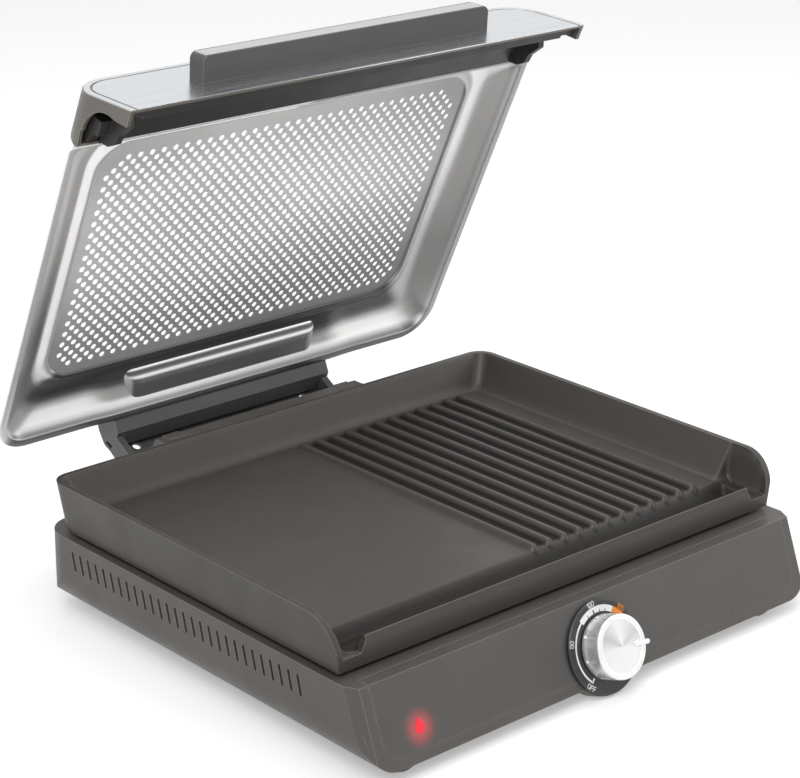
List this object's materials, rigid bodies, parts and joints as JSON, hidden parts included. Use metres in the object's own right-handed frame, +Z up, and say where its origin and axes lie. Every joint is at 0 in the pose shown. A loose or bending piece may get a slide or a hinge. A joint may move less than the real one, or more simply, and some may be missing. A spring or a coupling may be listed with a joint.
{
  "type": "electric indoor grill with hinged lid",
  "caption": "Countertop electric grill: low base with a front control knob, lift-off cast plate, and a hinged perforated steel lid with a long front handle.",
  "frame": {"origin": "on the table, in the middle of the four feet", "axes": "+X to the right seen from the front, +Y to the rear, towards the lid hinge, +Z up; the control face looks along -Y"},
  "size_m": [0.406, 0.4384, 0.3912],
  "materials": {
    "housing_plastic": "fine satin moulded grain",
    "fascia_plastic": "smooth satin",
    "dark_plastic": "satin black",
    "foot_rubber": "matt",
    "screw_steel": "plain zinc-plated",
    "tray_steel": "bright",
    "element_sheath": "dull oxidised sheath",
    "ceramic_white": "unglazed",
    "cast_coating": "non-stick coating over cast aluminium",
    "dial_black": "satin",
    "knob_metal": "brushed, with a spun face",
    "lens_red": "clear red, lit",
    "board_green": "laminate",
    "lid_steel": "polished, faintly brushed",
    "mesh_steel": "perforated sheet",
    "cap_paint": "satin metallic",
    "inlay_steel": "brushed across the width",
    "handle_plastic": "satin",
    "strip_steel": "satin",
    "hinge_paint": "satin black"
  },
  "bodies": {
    "base": {"base_housing": "housing_plastic", "front_fascia": "fascia_plastic", "base_cover": "dark_plastic", "feet": "foot_rubber", "cover_screws": "screw_steel", "reflector_tray": "tray_steel", "heating_element": "element_sheath", "element_clips": "tray_steel", "plate_posts": "ceramic_white", "thermostat": "ceramic_white", "thermostat_screws": "screw_steel", "dial_plate": "dial_black", "indicator_lens": "lens_red", "indicator_board": "board_green", "terminal_block": "ceramic_white", "cord_gland": "dark_plastic", "hinge_tower": "housing_plastic", "tower_screws": "screw_steel", "hinge_pins": "screw_steel"},
    "plate": {"cooking_plate": "cast_coating"},
    "knob": {"knob_body": "knob_metal", "knob_face": "knob_metal", "knob_pointer": "knob_metal"},
    "lid": {"hinge_bracket": "hinge_paint", "bracket_screws": "screw_steel", "hinge_cover": "lid_steel", "lid_shell": "lid_steel", "lid_mesh": "mesh_steel", "lid_cap": "cap_paint", "cap_liner": "dark_plastic", "cap_corners": "dark_plastic", "cap_frame": "inlay_steel", "cap_inlay": "inlay_steel", "lid_handle": "handle_plastic", "handle_strip": "strip_steel", "handle_screws": "screw_steel"}
  },
  "joints": [
    {"name": "lid_hinge", "type": "hinge", "parent": "base", "child": "lid", "pos_m": [0, 0.2045, 0.0545], "axis": [1, 0, 0], "range_deg": [-20, 65.5]},
    {"name": "knob_turn", "type": "hinge", "parent": "base", "child": "knob", "pos_m": [0, -0.15219, 0.03058], "axis": [0, -0.9323, 0.3616], "range_deg": [0, 225]},
    {"name": "plate_lift", "type": "slide", "parent": "base", "child": "plate", "axis": [0, 0, 1], "range_m": [0, 0.11]}
  ]
}
